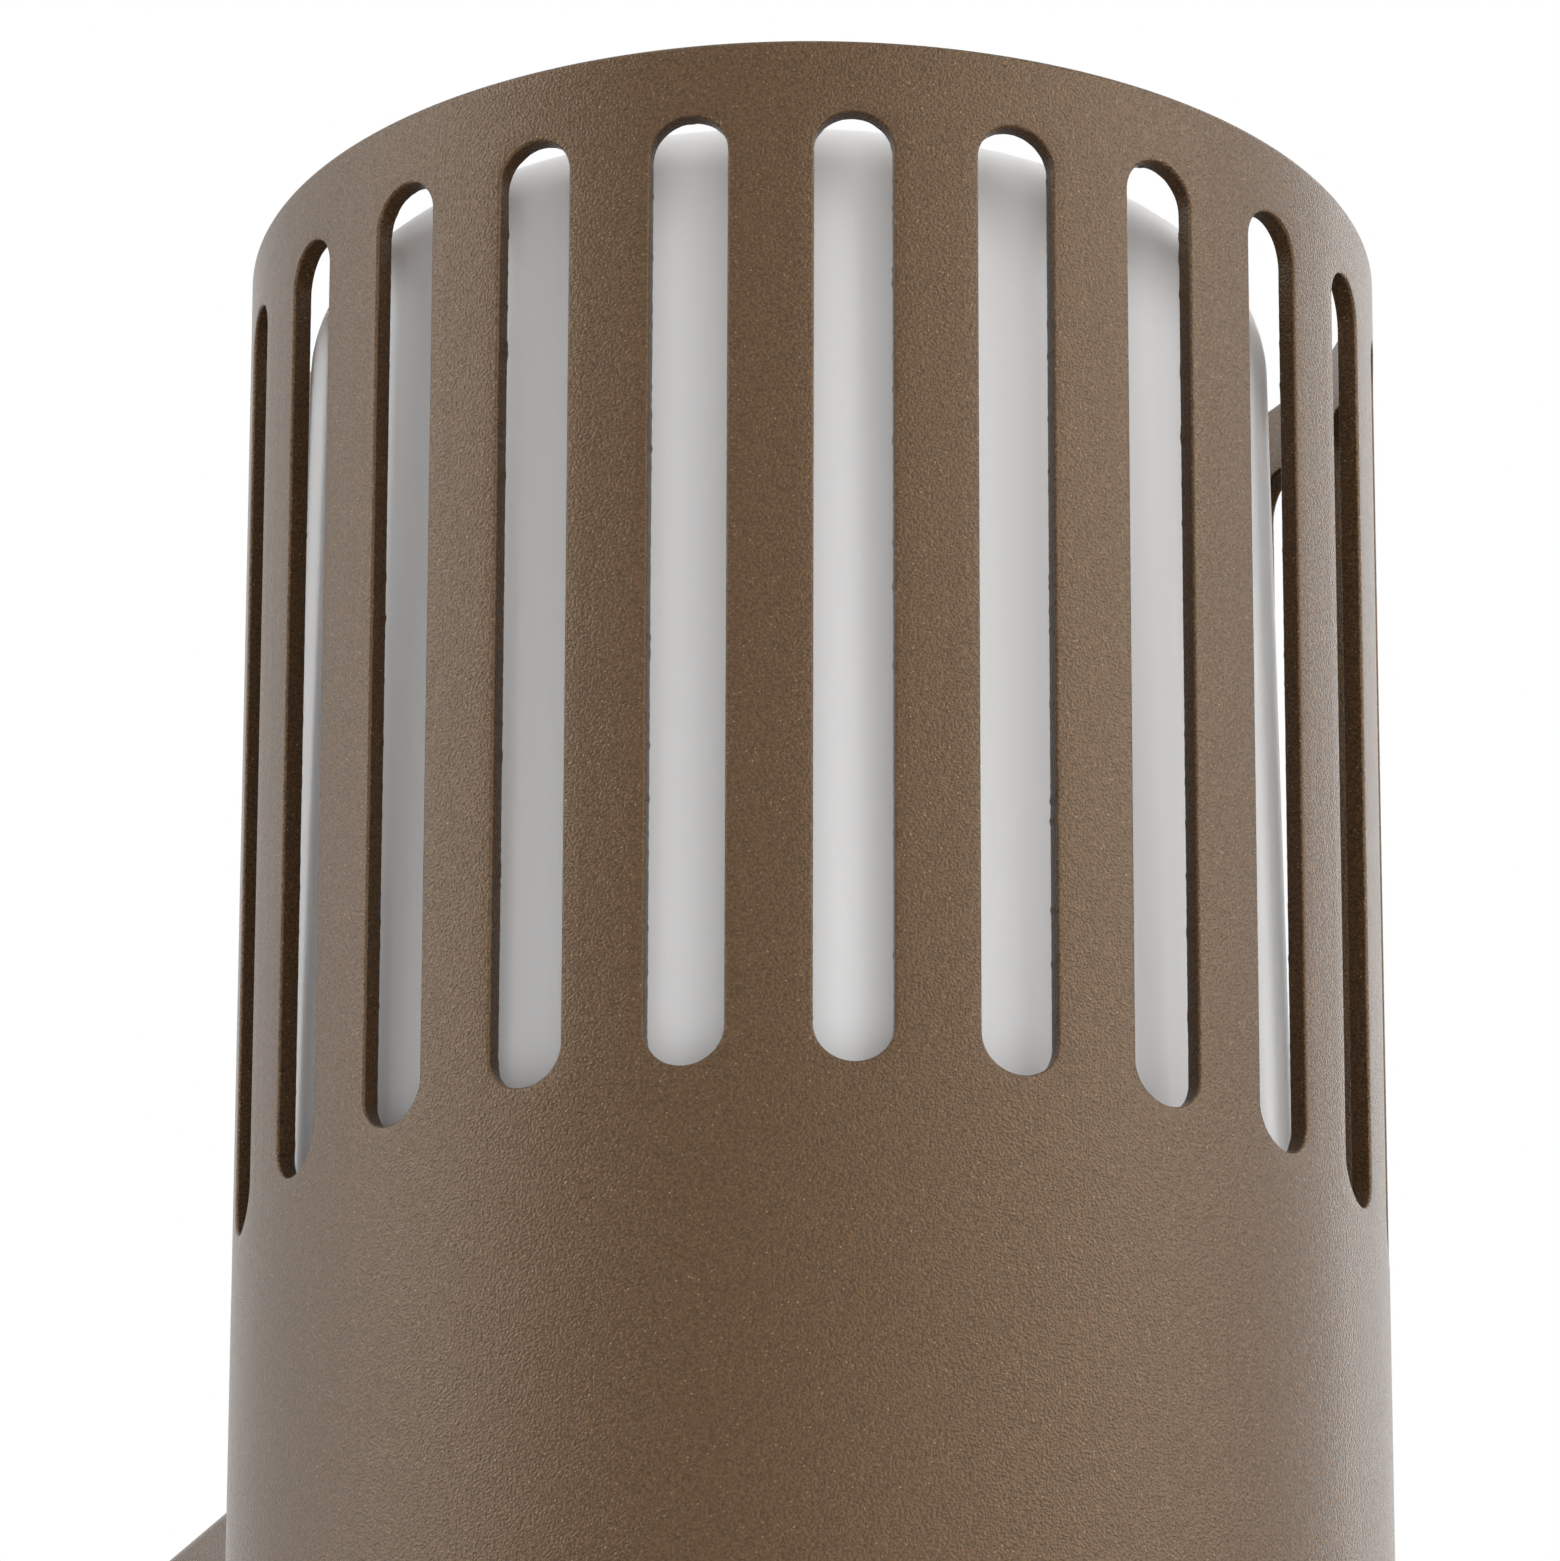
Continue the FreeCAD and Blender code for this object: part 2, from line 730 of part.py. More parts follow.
def wall_gasket():
    """Foam frame between the box's rim and the wall, round the wall plate."""
    wide = 2 * wall_gasket_inset
    outer = rounded_rectangle(box_width - wide, box_height - wide, box_corner, 0.0)
    wide = 2 * (box_wall + slip_gap)
    inner = rounded_rectangle(box_width - wide, box_height - wide, plate_corner, 0.0)
    back = point(0, -wall_gasket_thickness, 0)
    return Part.Face(outer).extrude(back).cut(Part.Face(inner).extrude(back))


def box_screws():
    screws = []
    for side, seat in box_side_places():
        place = point(side * seat, -box_screw_depth, plate_tab_rise)
        screws.append(screw(box_screw, place, point(-side, 0, 0)))
    return screws


def cable_grommet():
    """Rubber inlet: a neck in the plate, a flange on its front and a nose round the cable."""
    z = cable_rise
    back = point(0, 0, z)
    front = point(0, -plate_thickness, z)
    flange = point(0, front.y - cable_flange_thickness, z)
    nose = point(0, flange.y - cable_nose_length, z)
    neck = rod(cable_neck_radius, back, front)
    body = neck.fuse([rod(cable_flange_radius, front, flange), rod(cable_nose_radius, flange, nose)])
    return body.cut(rod(cable_bore_radius, back, nose))


def pole_places():
    return [(n - (pole_count - 1) / 2) * pole_pitch for n in range(pole_count)]


def fixing_places():
    """Fixing holes in the webs between the poles."""
    return [(a + b) / 2 for a, b in zip(pole_places(), pole_places()[1:])]


def wire_y():
    return -plate_thickness - pole_wire_depth


def terminal_screw_heights():
    return [pole_rise + end * terminal_screw_reach for end in (-1, 1)]


def terminal_block():
    """Row of poles on a web, each with a wire channel and two screw wells."""
    back = -plate_thickness
    front = back - pole_depth
    low = pole_rise - pole_height / 2
    high = pole_rise + pole_height / 2
    half_web = pole_pitch * (pole_count - 1) / 2
    web_low = point(-half_web, back - pole_web_depth, low + pole_web_inset)
    web = block(web_low, point(half_web, back, high - pole_web_inset))
    poles = []
    cutters = []
    for x in pole_places():
        poles.append(block(point(x - pole_width / 2, front, low), point(x + pole_width / 2, back, high)))
        cutters.append(rod(insert_radius + thread_gap, point(x, wire_y(), low), point(x, wire_y(), high)))
        for z in terminal_screw_heights():
            cutters.append(rod(terminal_screw_radius + hole_gap, point(x, front, z), point(x, wire_y(), z)))
    for x in fixing_places():
        cutters.append(rod(fixing_screw[0] + hole_gap, point(x, front, pole_rise), point(x, back, pole_rise)))
        cutters.append(rod(fixing_screw[1] + hole_gap, point(x, front, pole_rise),
                           point(x, back - pole_web_depth, pole_rise)))
    return web.fuse(poles).cut(cutters)


def terminal_inserts():
    tubes = []
    for x in pole_places():
        low = point(x, wire_y(), pole_rise - insert_length / 2)
        high = point(x, wire_y(), pole_rise + insert_length / 2)
        tube = pipe(insert_radius, insert_bore_radius, low, high)
        for z in terminal_screw_heights():
            start = point(x, wire_y() - insert_bore_radius / 2, z)
            end = point(x, wire_y() - pole_depth, z)
            tube = tube.cut(rod(terminal_screw_radius + thread_gap, start, end))
        tubes.append(tube)
    return tubes


def terminal_screws():
    """Headless screws that clamp the wires in the inserts."""
    front = -plate_thickness - pole_depth + terminal_screw_recess
    tip = wire_y() - lead_radius - slip_gap
    pins = []
    for x in pole_places():
        for z in terminal_screw_heights():
            pins.append(rod(terminal_screw_radius, point(x, front, z), point(x, tip, z)))
    return pins


def terminal_fixing_screws():
    seat = -plate_thickness - pole_web_depth
    return [screw(fixing_screw, point(x, seat, pole_rise), point(0, 1, 0)) for x in fixing_places()]


def earth_lug():
    """Ring under the carrier plate, with a barrel hanging beside it for the earth lead."""
    y = axis_y + earth_y
    top = plate_bottom_z
    low = top - lug_thickness
    ring = upright(lug_radius, low, top, earth_x, y)
    half = lug_barrel_radius
    strap = block(point(earth_x - half, y, low), point(earth_x + half, y + lug_length, top))
    barrel = upright(half, top - lug_barrel_length, top, earth_x, y + lug_length)
    body = ring.fuse([strap, barrel])
    bore = upright(lug_barrel_bore, top - lug_barrel_length, low, earth_x, y + lug_length)
    return body.cut([bore, upright(earth_screw[0] + thread_gap, low, top, earth_x, y)])


def earth_screw_shape():
    seat = point(earth_x, axis_y + earth_y, plate_bottom_z - lug_thickness)
    return screw(earth_screw, seat, Z)


def lead(places):
    """Round lead along straight runs joined by tangent arcs, as large as the runs allow."""
    edges = []
    start = places[0]
    for before, corner, after in zip(places, places[1:], places[2:]):
        back = (before - corner).normalize()
        ahead = (after - corner).normalize()
        turn = math.pi - back.getAngle(ahead)
        reach = bend_share * min((before - corner).Length, (after - corner).Length)
        radius = reach / math.tan(turn / 2)
        enter = corner + back * reach
        leave = corner + ahead * reach
        inward = (back + ahead).normalize()
        middle = corner + inward * (math.hypot(radius, reach) - radius)
        edges.append(Part.LineSegment(start, enter).toShape())
        edges.append(Part.Arc(enter, middle, leave).toShape())
        start = leave
    edges.append(Part.LineSegment(start, places[-1]).toShape())
    path = Part.Wire(edges)
    section = Part.Wire(Part.makeCircle(lead_radius, places[0], places[1] - places[0]))
    return path.makePipeShell([section], True, False)


def lead_start(pole):
    """The stretch that every lead shares: out of its terminal, and through the bush and the boss."""
    x = pole_places()[pole]
    across = (pole - (pole_count - 1) / 2) * lead_spacing
    bush_y = boss_face_y + lead_flange_thickness
    return [
        point(x, wire_y(), pole_rise),
        point(x, wire_y(), pole_rise - pole_height / 2 - lead_tail),
        point(across, (wire_y() + bush_y) / 2, -lead_drop),
        point(across, carrier_boss_front - lead_run, -lead_drop),
    ]


def holder_lead(pole, well):
    x, y = holder_wells()[well]
    low = point(x, y, plate_bottom_z - lead_hang)
    return lead(lead_start(pole) + [low, point(x, y, seat_z + holder_well_depth - slip_gap)])


def live_lead():
    return holder_lead(0, 0)


def neutral_lead():
    return holder_lead(1, 1)


def earth_lead():
    y = axis_y + earth_y + lug_length
    low = point(earth_x, y, plate_bottom_z - lead_hang)
    return lead(lead_start(2) + [low, point(earth_x, y, plate_bottom_z - lug_thickness - slip_gap)])


def export(name, shape):
    solids = shape if isinstance(shape, list) else [shape]
    whole = Part.makeCompound(solids) if len(solids) > 1 else solids[0]
    whole.exportStep(os.path.join("parts", name + ".step"))
    volume = sum(solid.Volume for solid in solids)
    print(name, len(whole.Solids), whole.isValid(), round(volume, 1))


nodes = {
    "slotted_tube": slotted_tube,
    "diffuser_cup": diffuser_cup,
    "wall_box": wall_box,
    "lamp_carrier": lamp_carrier,
    "cup_seal": cup_seal,
    "lampholder_body": lampholder_body,
    "lampholder_shell": lampholder_shell,
    "lampholder_contact": lampholder_contact,
    "lampholder_screws": lampholder_screws,
    "bulb_cap": bulb_cap,
    "bulb_insulator": bulb_insulator,
    "bulb_contact": bulb_contact,
    "bulb_body": bulb_body,
    "bulb_globe": bulb_globe,
    "bottom_cap": bottom_cap,
    "bottom_cap_screws": bottom_cap_screws,
    "cap_standoffs": cap_standoffs,
    "saddle_gasket": saddle_gasket,
    "clamp_screws": clamp_screws,
    "clamp_washers": clamp_washers,
    "lead_grommet": lead_grommet,
    "wall_plate": wall_plate,
    "wall_gasket": wall_gasket,
    "box_screws": box_screws,
    "cable_grommet": cable_grommet,
    "terminal_block": terminal_block,
    "terminal_inserts": terminal_inserts,
    "terminal_screws": terminal_screws,
    "terminal_fixing_screws": terminal_fixing_screws,
    "earth_lug": earth_lug,
    "earth_screw": earth_screw_shape,
    "live_lead": live_lead,
    "neutral_lead": neutral_lead,
    "earth_lead": earth_lead,
}

os.makedirs("parts", exist_ok=True)
for name, make in nodes.items():
    export(name, make())
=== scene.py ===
import json
import math

import bmesh
import bpy
from mathutils import Matrix, Vector, noise


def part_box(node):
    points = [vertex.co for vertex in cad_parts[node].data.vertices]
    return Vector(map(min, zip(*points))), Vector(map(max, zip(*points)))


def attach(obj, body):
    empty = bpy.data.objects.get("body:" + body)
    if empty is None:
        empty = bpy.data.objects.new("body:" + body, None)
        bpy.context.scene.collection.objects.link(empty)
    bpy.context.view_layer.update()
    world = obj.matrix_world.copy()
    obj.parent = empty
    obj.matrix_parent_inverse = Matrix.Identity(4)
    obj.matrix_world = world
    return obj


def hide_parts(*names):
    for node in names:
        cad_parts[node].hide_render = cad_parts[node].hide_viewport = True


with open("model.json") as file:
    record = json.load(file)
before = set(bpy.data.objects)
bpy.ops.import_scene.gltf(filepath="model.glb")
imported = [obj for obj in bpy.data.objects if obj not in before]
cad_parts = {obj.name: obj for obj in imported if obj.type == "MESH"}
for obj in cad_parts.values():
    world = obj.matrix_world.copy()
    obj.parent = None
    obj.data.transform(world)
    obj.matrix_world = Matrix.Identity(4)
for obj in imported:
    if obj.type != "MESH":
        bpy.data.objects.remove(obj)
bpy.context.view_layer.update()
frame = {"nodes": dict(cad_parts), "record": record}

# Outdoor wall light, dressed for the camera. Metres, +Z up, the light faces -Y.
MM = 0.001

# Sizes of the tube's slots and the cup's mould, in millimetres
slot_count = 22
slot_width = 7.5
slot_length = 96.5
rim_band = 7.5
tube_wall = 2.0
cup_wall = 2.2
cup_corner = 8.0
cup_draft = math.radians(1.0)

# Camera, fitted to the photograph: a long lens, low and a little to the left of the light.
# Its distance from the tube's axis and its drop below the rim are in millimetres.
photo_width = 1560
focal_pixels = 12539.9
camera_distance = 1111.4
camera_turn = math.radians(-20.45)
camera_drop = 536.6
camera_pitch = math.radians(23.543)
camera_yaw = math.radians(-0.157)
camera_roll = math.radians(0.153)

# Material slot of each node
slots = {row["node"]: row["material_slot"] for row in frame["record"]["subparts"]}


def box_mm(node):
    """Low and high corner of a node's box, in millimetres."""
    low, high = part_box(node)
    return low / MM, high / MM


tube_low, tube_high = box_mm("slotted_tube")
tube_radius = (tube_high.x - tube_low.x) / 2
bore_radius = tube_radius - tube_wall
axis_x = (tube_high.x + tube_low.x) / 2
axis_y = (tube_high.y + tube_low.y) / 2
cup_low, cup_high = box_mm("diffuser_cup")
cup_x = (cup_high.x + cup_low.x) / 2
cup_y = (cup_high.y + cup_low.y) / 2

# Mesh helpers: points are in millimetres
crease = math.radians(40)


def piece(name, points, faces, body, node, weld=0.001, marked=()):
    """Mesh from points and faces in place of a node, smooth but at creases.

    Points closer than the weld are joined, and marked faces take the mesh's second material.
    """
    mesh = bpy.data.meshes.new(name)
    shell = bmesh.new()
    corners = [shell.verts.new(Vector(p) * MM) for p in points]
    for face in faces:
        shell.faces.new([corners[index] for index in face])
    shell.faces.ensure_lookup_table()
    for index in marked:
        shell.faces[index].material_index = 1
    bmesh.ops.remove_doubles(shell, verts=shell.verts, dist=weld * MM)
    bmesh.ops.recalc_face_normals(shell, faces=shell.faces)
    for face in shell.faces:
        face.smooth = True
    for edge in shell.edges:
        edge.smooth = edge.calc_face_angle(0.0) < crease
    shell.to_mesh(mesh)
    shell.free()
    mesh.materials.append(materials[slots[node]])
    made = bpy.data.objects.new(name, mesh)
    bpy.context.scene.collection.objects.link(made)
    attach(made, body)
    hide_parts(node)
    return made


def around(radius, angle, z):
    """Point on the tube at an angle from its front."""
    return axis_x + radius * math.sin(angle), axis_y - radius * math.cos(angle), z


def lathe(profile, x, y, steps):
    """Points and faces of a closed profile turned about the upright axis through x, y."""
    points = []
    faces = []
    count = len(profile)
    for step in range(steps):
        angle = 2 * math.pi * step / steps
        points += [(x + r * math.cos(angle), y + r * math.sin(angle), z) for r, z in profile]
        base = step * count
        ahead = (step + 1) % steps * count
        for index in range(count):
            after = (index + 1) % count
            if profile[index][0] or profile[after][0]:
                faces.append((base + index, base + after, ahead + after, ahead + index))
    return points, faces


def arc(centre_r, centre_z, radius, start, end, steps):
    """Points along a round corner of a profile, angles in degrees."""
    turns = [math.radians(start + (end - start) * n / steps) for n in range(steps + 1)]
    return [(centre_r + radius * math.cos(a), centre_z + radius * math.sin(a)) for a in turns]


# Slotted tube: each slot has a cell of faces around it, with plain bands above and below
slot_half = slot_width / 2
slot_high = tube_high.z - rim_band - slot_half
slot_low = slot_high - slot_length + slot_width
cell_half = math.pi / slot_count
cell_margin = 3.8
cell_top = slot_high + slot_half + cell_margin
cell_bottom = slot_low - slot_half - cell_margin
side_steps = 180
arc_steps = 24
coat_round = 0.28
coat_steps = 4
rim_round = 0.55
rim_steps = 5
wall_rows = range(6, 10)  # strips of faces between the rings that make up a slot's wall

# Nibs of coat in the slots, and how much of them shows on the outer edge, the wall and the inner edge
burr_round = 0.3
burr_steps = 3
burr_size = 0.3
burr_pitch = 1.1
burr_floor = 0.25
burr_ripple = 0.12
burr_fine = 1.7
burr_spread = 40
outer_wear = 0.12
wall_wear = 0.3
inner_wear = 1.0


def slot_outline():
    """Points round a slot: sideways and upright place, outward direction, and place on the cell's edge."""
    rows = []
    for step in range(side_steps):
        v = slot_low + (slot_high - slot_low) * step / side_steps
        rows.append((slot_half, v, 1.0, 0.0, cell_half, v))
    rows += slot_end(slot_high, cell_top, 0)
    for step in range(side_steps):
        v = slot_high - (slot_high - slot_low) * step / side_steps
        rows.append((-slot_half, v, -1.0, 0.0, -cell_half, v))
    rows += slot_end(slot_low, cell_bottom, math.pi)
    return rows


def slot_end(middle, edge, start):
    """Half circle at one end of a slot, matched to the three sides of the cell around it."""
    rows = []
    for step in range(arc_steps):
        share = step / arc_steps
        angle = start + math.pi * share
        side = math.cos(start)
        if share < 0.25:
            place = (cell_half * side, middle + (edge - middle) * share * 4)
        elif share <= 0.75:
            place = (cell_half * side * (2 - 4 * share), edge)
        else:
            place = (-cell_half * side, middle + (edge - middle) * (1 - share) * 4)
        u = slot_half * math.cos(angle)
        v = middle + slot_half * math.sin(angle)
        rows.append((u, v, math.cos(angle), math.sin(angle), *place))
    return rows


def burr(x, y, z):
    """Height of the small nibs of coat in a slot, most of it nearly smooth."""
    place = Vector((x, y, z)) * burr_pitch
    nib = burr_size * max(0.0, noise.noise(place) - burr_floor)
    return nib + burr_ripple * burr_size * noise.noise(place * burr_fine)


def slot_rings(turn):
    """Rings of points from the outer cell edge over the slot's coated edges to the inner cell edge."""
    rows = slot_outline()
    rings = []

    def on_cell(radius, edge, share):
        ring = []
        for u, v, nu, nv, cell_angle, cell_v in rows:
            angle = math.asin((u + nu * edge) / radius)
            height = v + nv * edge
            angle += (cell_angle - angle) * share
            height += (cell_v - height) * share
            ring.append(around(radius, turn + angle, height))
        rings.append(ring)

    def on_edge(radius, edge, rough):
        ring = []
        for u, v, nu, nv, *_ in rows:
            wear = -rough * burr(math.sin(turn) * burr_spread + u, math.cos(turn) * burr_spread, v)
            angle = math.asin((u + nu * (edge + wear)) / radius)
            ring.append(around(radius, turn + angle, v + nv * (edge + wear)))
        rings.append(ring)

    for share in (1.0, 0.4):
        on_cell(tube_radius, coat_round, share)
    for step in range(coat_steps + 1):
        lean = math.radians(90 * step / coat_steps)
        radius = tube_radius - coat_round * (1 - math.cos(lean))
        on_edge(radius, coat_round * (1 - math.sin(lean)), outer_wear * step / coat_steps)
    on_edge((tube_radius + bore_radius) / 2, 0.0, wall_wear)
    for step in range(burr_steps + 1):
        lean = math.radians(90 * step / burr_steps)
        radius = bore_radius + burr_round * (1 - math.sin(lean))
        on_edge(radius, burr_round * (1 - math.cos(lean)), inner_wear)
    for share in (0.4, 1.0):
        on_cell(bore_radius, burr_round, share)
    return rings


def band_angles():
    """Angles of the upright columns in the plain bands above and below the slots."""
    steps = arc_steps // 2
    angles = []
    for index in range(slot_count):
        middle = 2 * math.pi * index / slot_count
        angles += [middle + cell_half * (2 * step / steps - 1) for step in range(steps)]
    return angles


def slotted_tube():
    """The tube's shell, with the faces inside its slots marked for the second material, a darker copy of the
    coat that is painted shade inside the slots.
    """
    points = []
    faces = []
    # Faces of the slots' walls, which take a darker copy of the coat: painted shade inside the slots
    painted_shade_walls = []
    for index in range(slot_count):
        rings = slot_rings(2 * math.pi * index / slot_count)
        count = len(rings[0])
        for row, (first, second) in enumerate(zip(rings, rings[1:])):
            base = len(points)
            points += first + second
            for n in range(count):
                m = (n + 1) % count
                faces.append((base + n, base + m, base + count + m, base + count + n))
                if row in wall_rows:
                    painted_shade_walls.append(len(faces) - 1)
    rim = tube_high.z - rim_round
    foot = tube_low.z + rim_round
    outer = tube_radius - rim_round
    inner = bore_radius + rim_round
    upper = [(tube_radius, cell_top), (tube_radius, (cell_top + rim) / 2)]
    upper += arc(outer, rim, rim_round, 0, 90, rim_steps)
    upper += arc(inner, rim, rim_round, 90, 180, rim_steps)
    upper += [(bore_radius, (cell_top + rim) / 2), (bore_radius, cell_top)]
    lower = [(bore_radius, cell_bottom), (bore_radius, (cell_bottom + foot) / 2)]
    lower += arc(inner, foot, rim_round, 180, 270, rim_steps)
    lower += arc(outer, foot, rim_round, 270, 360, rim_steps)
    lower += [(tube_radius, (cell_bottom + foot) / 2), (tube_radius, cell_bottom)]
    angles = band_angles()
    for profile in (upper, lower):
        base = len(points)
        count = len(profile)
        for angle in angles:
            points += [around(radius, angle, z) for radius, z in profile]
        for n in range(len(angles)):
            here = base + n * count
            ahead = base + (n + 1) % len(angles) * count
            for index in range(count - 1):
                faces.append((here + index, ahead + index, ahead + index + 1, here + index + 1))
    return piece("tube_shell", points, faces, "housing", "slotted_tube", marked=painted_shade_walls)


# Opal cup
cup_steps = 192
cup_corner_steps = 14
cup_weld = 0.0001


def cup_profile(inset):
    """Half outline of the cup's outside, or of its inside when inset by the wall, from base to top."""
    base_radius = (cup_high.x - cup_low.x) / 2 - inset / math.cos(cup_draft)
    height = cup_high.z - cup_low.z
    corner = cup_corner - inset
    centre_z = cup_high.z - cup_corner
    side_top = base_radius - (height - cup_corner) * math.tan(cup_draft)
    centre_r = side_top - corner / math.cos(cup_draft)
    rows = [(base_radius, cup_low.z)]
    rows += [(base_radius - height * share * math.tan(cup_draft), cup_low.z + height * share)
             for share in (0.3, 0.6, 0.9)]
    rows += arc(centre_r, centre_z, corner, math.degrees(cup_draft), 90, cup_corner_steps)
    rows += [(centre_r * share, cup_high.z - inset) for share in (0.75, 0.5, 0.25, 0.0)]
    return rows


def diffuser_cup():
    """The cup's mould, turned from its outside and its inside."""
    outside = cup_profile(0.0)
    inside = cup_profile(cup_wall)
    profile = outside + inside[::-1]
    points, faces = lathe(profile, cup_x, cup_y, cup_steps)
    piece("opal_cup", points, faces, "diffuser", "diffuser_cup", cup_weld)


# Screws with domed heads: shank radius, head radius, head height and shank length
box_screw = (1.95, 3.6, 2.4, 9.0)
cap_screw = (1.95, 3.6, 2.4, 12.0)
clamp_screw = (2.45, 4.25, 3.0, 22.0)
holder_screw = (1.7, 3.2, 2.0, 8.0)
fixing_screw = (1.2, 2.2, 1.4, 6.5)
earth_screw = (1.95, 3.6, 2.6, 6.0)
pillar_inset = 17.0
ring_steps = 24
head_edge = 0.15

# Shares of a screw: the socket's flats of the head's radius, its floor of the head's height, its middle of its
# own width, where the dome starts of the flats, and the thread's pitch and the tip of the shank's radius
flats_share = 0.7
floor_share = 0.35
middle_share = 0.1
dome_share = 0.68
pitch_share = 0.36
tip_share = 0.2
rows_per_pitch = 4


def hexagon(flats, angle):
    """Radius of a hexagon at an angle."""
    return flats / 2 / math.cos(angle % (math.pi / 3) - math.pi / 6)


def dome_height(radius, head, height):
    """Height of a domed head above its seat, at a radius."""
    rise = height / 2
    bend = (head ** 2 + rise ** 2) / (2 * rise)
    return height - bend + math.sqrt(bend ** 2 - radius ** 2)


def screw_rings(size):
    """Rings of radius and height round a screw, from its socket's floor over the head to the threaded tip."""
    shank, head, height, length = size
    flats = head * flats_share
    pitch = shank * pitch_share
    turns = [2 * math.pi * step / ring_steps for step in range(ring_steps)]
    socket = [hexagon(flats, turn) for turn in turns]
    floor = height * floor_share
    rings = [[(r * middle_share, floor) for r in socket], [(r, floor) for r in socket]]
    rings.append([(r, dome_height(r, head, height) - head_edge / 2) for r in socket])
    rings.append([(r + head_edge / 2, dome_height(r + head_edge / 2, head, height)) for r in socket])
    start = flats * dome_share
    for share in (0.0, 0.35, 0.7, 0.95):
        radius = start + (head - start) * share
        rings.append([(radius, dome_height(radius, head, height))] * ring_steps)
    side = [(head, height / 2 - head_edge), (head, head_edge), (head - head_edge, 0.0), (shank, 0.0)]
    for radius, rise in side:
        rings.append([(radius, rise)] * ring_steps)
    rows = int(length / pitch * rows_per_pitch)
    for row in range(1, rows + 1):
        depth = length * row / rows
        rings.append([(shank - pitch * abs((depth / pitch + turn / (2 * math.pi)) % 1 - 0.5), -depth)
                      for turn in turns])
    rings.append([(shank * tip_share, -length)] * ring_steps)
    return rings


def screws(node, size, places):
    """One piece with a screw at each place: the head's seat and the way the head points."""
    rings = screw_rings(size)
    points = []
    faces = []
    for place, away in places:
        axis = Vector(away)
        across = axis.orthogonal().normalized()
        upward = axis.cross(across)
        base = len(points)
        for ring in rings:
            for step, (radius, rise) in enumerate(ring):
                turn = 2 * math.pi * step / ring_steps
                offset = across * math.cos(turn) + upward * math.sin(turn)
                points.append(Vector(place) + offset * radius + axis * rise)
        for row in range(len(rings) - 1):
            here = base + row * ring_steps
            for step in range(ring_steps):
                ahead = (step + 1) % ring_steps
                faces.append((here + step, here + ahead, here + ring_steps + ahead, here + ring_steps + step))
        faces.append(tuple(range(base, base + ring_steps)))
        faces.append(tuple(range(len(points) - ring_steps, len(points))))
    piece(node + "_detail", points, faces, "housing", node)


def all_screws():
    """Screws of each kind, at the places of their nodes."""
    low, high = box_mm("box_screws")
    y, z = (low.y + high.y) / 2, (low.z + high.z) / 2
    reach = high.x - box_screw[2]
    screws("box_screws", box_screw, [((side * reach, y, z), (side, 0, 0)) for side in (-1, 1)])

    low, high = box_mm("bottom_cap_screws")
    seat = low.z + cap_screw[2]
    ring = [around(bore_radius - pillar_inset, 2 * math.pi * n / 3, seat) for n in range(3)]
    screws("bottom_cap_screws", cap_screw, [(place, (0, 0, -1)) for place in ring])

    low, high = box_mm("clamp_screws")
    z, seat = (low.z + high.z) / 2, high.y - clamp_screw[2]
    reach = high.x - clamp_screw[1]
    screws("clamp_screws", clamp_screw, [((side * reach, seat, z), (0, 1, 0)) for side in (-1, 1)])

    low, high = box_mm("lampholder_screws")
    x, seat = (low.x + high.x) / 2, high.z - holder_screw[2]
    rows = (low.y + holder_screw[1], high.y - holder_screw[1])
    screws("lampholder_screws", holder_screw, [((x, y, seat), (0, 0, 1)) for y in rows])

    low, high = box_mm("terminal_fixing_screws")
    z, seat = (low.z + high.z) / 2, low.y + fixing_screw[2]
    columns = (low.x + fixing_screw[1], high.x - fixing_screw[1])
    screws("terminal_fixing_screws", fixing_screw, [((x, seat, z), (0, -1, 0)) for x in columns])

    low, high = box_mm("earth_screw")
    place = ((low.x + high.x) / 2, (low.y + high.y) / 2, low.z + earth_screw[2])
    screws("earth_screw", earth_screw, [(place, (0, 0, -1))])


# Rolled thread of the bulb's cap and of the holder's shell
thread_pitch = 3.62
thread_steps = 72
thread_rows = 14
plain_end = 1.5


def threaded_sleeve(node, wall, depth, inner_depth):
    """Thin sleeve with a rolled round thread of a depth outside and inside, plain at both ends."""
    low, high = box_mm(node)
    x, y = (low.x + high.x) / 2, (low.y + high.y) / 2
    outer = (high.x - low.x) / 2
    rows = int((high.z - low.z) / thread_pitch * thread_rows)
    turns = [2 * math.pi * step / thread_steps for step in range(thread_steps)]
    points = []
    faces = []
    for row in range(rows + 1):
        z = low.z + (high.z - low.z) * row / rows
        share = min(1.0, (z - low.z) / plain_end, (high.z - z) / plain_end)
        waves = [share * (0.5 - 0.5 * math.cos(2 * math.pi * z / thread_pitch - turn)) for turn in turns]
        for radius, reach in ((outer, depth), (outer - wall, inner_depth)):
            for turn, wave in zip(turns, waves):
                r = radius - reach * wave
                points.append((x + r * math.cos(turn), y + r * math.sin(turn), z))
    stride = 2 * thread_steps
    for step in range(thread_steps):
        ahead = (step + 1) % thread_steps
        for row in range(rows):
            for skin in (0, thread_steps):
                here = row * stride + skin
                faces.append((here + step, here + ahead, here + stride + ahead, here + stride + step))
        for here in (0, rows * stride):
            faces.append((here + step, here + ahead, here + thread_steps + ahead, here + thread_steps + step))
    piece(node + "_detail", points, faces, "housing", node)


